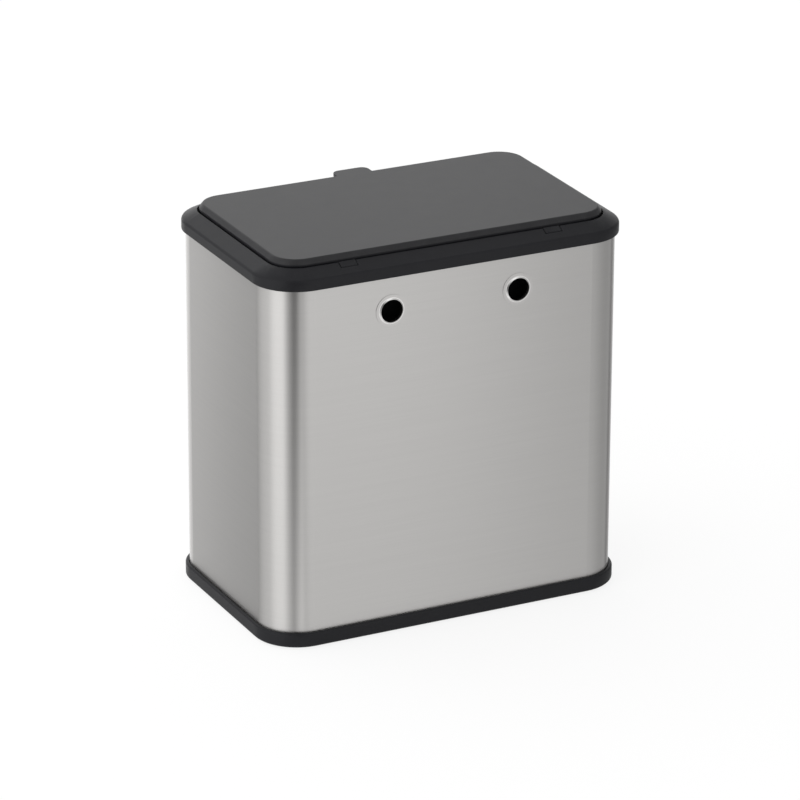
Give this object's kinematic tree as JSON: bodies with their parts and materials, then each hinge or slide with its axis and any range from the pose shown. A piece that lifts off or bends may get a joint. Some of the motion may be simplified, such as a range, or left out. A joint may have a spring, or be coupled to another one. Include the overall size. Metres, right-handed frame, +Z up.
{
  "type": "countertop compost bin",
  "caption": "Rounded rectangular steel compost bin with a dark moulded base and collar, a hinged lid with finger tab and odour filter, a lift-out bucket and rear hanging holes.",
  "frame": {"origin": "centre of the footprint, on the plane of the feet", "axes": "+X along the wide side, -Y out of the front where the lid's finger tab is, +Y out of the rear where the hanging holes are, +Z up"},
  "size_m": [0.2492, 0.1566, 0.2522],
  "materials": {
    "trim_plastic": "satin dark charcoal, fine moulded grain",
    "lid_plastic": "satin dark charcoal, finely mottled top",
    "pan_plastic": "satin dark charcoal",
    "bucket_plastic": "satin black",
    "shell_steel": "fine brushed",
    "eyelet_steel": "polished edges",
    "pin_steel": "ground",
    "foot_rubber": "matt",
    "seal_rubber": "matt",
    "charcoal_felt": "needled felt"
  },
  "bodies": {
    "bin": {"base_tray": "trim_plastic", "rubber_foot_1": "foot_rubber", "rubber_foot_2": "foot_rubber", "rubber_foot_3": "foot_rubber", "rubber_foot_4": "foot_rubber", "outer_shell": "shell_steel", "hanger_eyelet_left": "eyelet_steel", "hanger_eyelet_right": "eyelet_steel", "top_collar": "trim_plastic", "inner_bucket": "bucket_plastic"},
    "lid": {"lid_cover": "lid_plastic", "lid_pan": "pan_plastic", "lid_seal": "seal_rubber", "hinge_pin_left": "pin_steel", "hinge_pin_right": "pin_steel", "charcoal_filter": "charcoal_felt"},
    "filter_door": {"filter_door": "pan_plastic"}
  },
  "joints": [
    {"name": "lid_hinge", "type": "hinge", "parent": "bin", "child": "lid", "pos_m": [0, 0.0695, 0.2454], "axis": [-1, 0, 0], "range_deg": [0, 100]},
    {"name": "filter_door_hinge", "type": "hinge", "parent": "lid", "child": "filter_door", "pos_m": [0, 0.0286, 0.23464], "axis": [1, 0, 0], "range_deg": [0, 95]}
  ]
}
